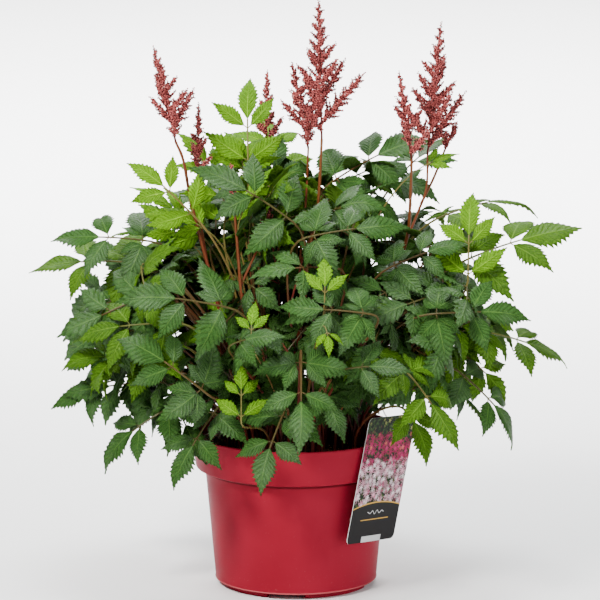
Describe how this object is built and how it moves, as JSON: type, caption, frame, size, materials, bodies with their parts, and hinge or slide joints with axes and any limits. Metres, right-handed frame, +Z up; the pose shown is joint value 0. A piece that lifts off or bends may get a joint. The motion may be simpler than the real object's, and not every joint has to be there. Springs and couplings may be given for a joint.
{
  "type": "potted astilbe plant",
  "caption": "Leafy perennial in a round nursery pot, with toothed compound leaves that fan out over the rim, feathery red flower plumes on thin stems and a plant tag.",
  "frame": {"origin": "on the floor, under the middle of the whole plant's box; the pot's axis is at X -7.3 mm, Y -25.5 mm", "axes": "+Z up, -Y towards the front of the plant, +X to its right as seen from the front"},
  "size_m": [0.5047, 0.4048, 0.537],
  "materials": {
    "pot_plastic": "satin",
    "peat": "matte",
    "tag_card": "satin",
    "clear_strap": "gloss",
    "leaf_dark": "satin",
    "leaf_mid": "satin",
    "leaf_young": "satin",
    "flower_stem": "satin",
    "plume": "matte"
  },
  "bodies": {
    "root": {"pot": "pot_plastic", "soil": "peat", "tag": "tag_card", "tag_loop": "clear_strap", "leaf_01": "leaf_young", "leaf_02": "leaf_young", "leaf_03": "leaf_dark", "leaf_04": "leaf_mid", "leaf_05": "leaf_dark", "leaf_06": "leaf_mid", "leaf_07": "leaf_mid", "leaf_08": "leaf_dark", "leaf_09": "leaf_dark", "leaf_10": "leaf_dark", "leaf_11": "leaf_mid", "leaf_12": "leaf_dark", "leaf_13": "leaf_dark", "leaf_14": "leaf_mid", "leaf_15": "leaf_mid", "leaf_16": "leaf_dark", "leaf_17": "leaf_mid", "leaf_18": "leaf_dark", "leaf_19": "leaf_dark", "leaf_20": "leaf_mid", "leaf_21": "leaf_young", "leaf_22": "leaf_dark", "leaf_23": "leaf_dark", "leaf_24": "leaf_mid", "leaf_25": "leaf_mid", "leaf_26": "leaf_dark", "leaf_27": "leaf_mid", "leaf_28": "leaf_dark", "leaf_29": "leaf_dark", "leaf_30": "leaf_mid", "leaf_31": "leaf_dark", "leaf_32": "leaf_mid", "leaf_33": "leaf_young", "leaf_34": "leaf_dark", "leaf_35": "leaf_mid", "leaf_36": "leaf_dark", "leaf_37": "leaf_mid", "leaf_38": "leaf_dark", "leaf_39": "leaf_mid", "leaf_40": "leaf_dark", "flower_stem_left": "flower_stem", "flower_stem_back": "flower_stem", "flower_stem_dark": "flower_stem", "flower_stem_middle": "flower_stem", "flower_stem_right": "flower_stem", "plume_left": "plume", "plume_left_low": "plume", "plume_back": "plume", "plume_dark": "plume", "plume_dark_low": "plume", "plume_middle": "plume", "plume_middle_low": "plume", "plume_right_near": "plume", "plume_right": "plume", "plume_right_low": "plume"}
  },
  "joints": []
}
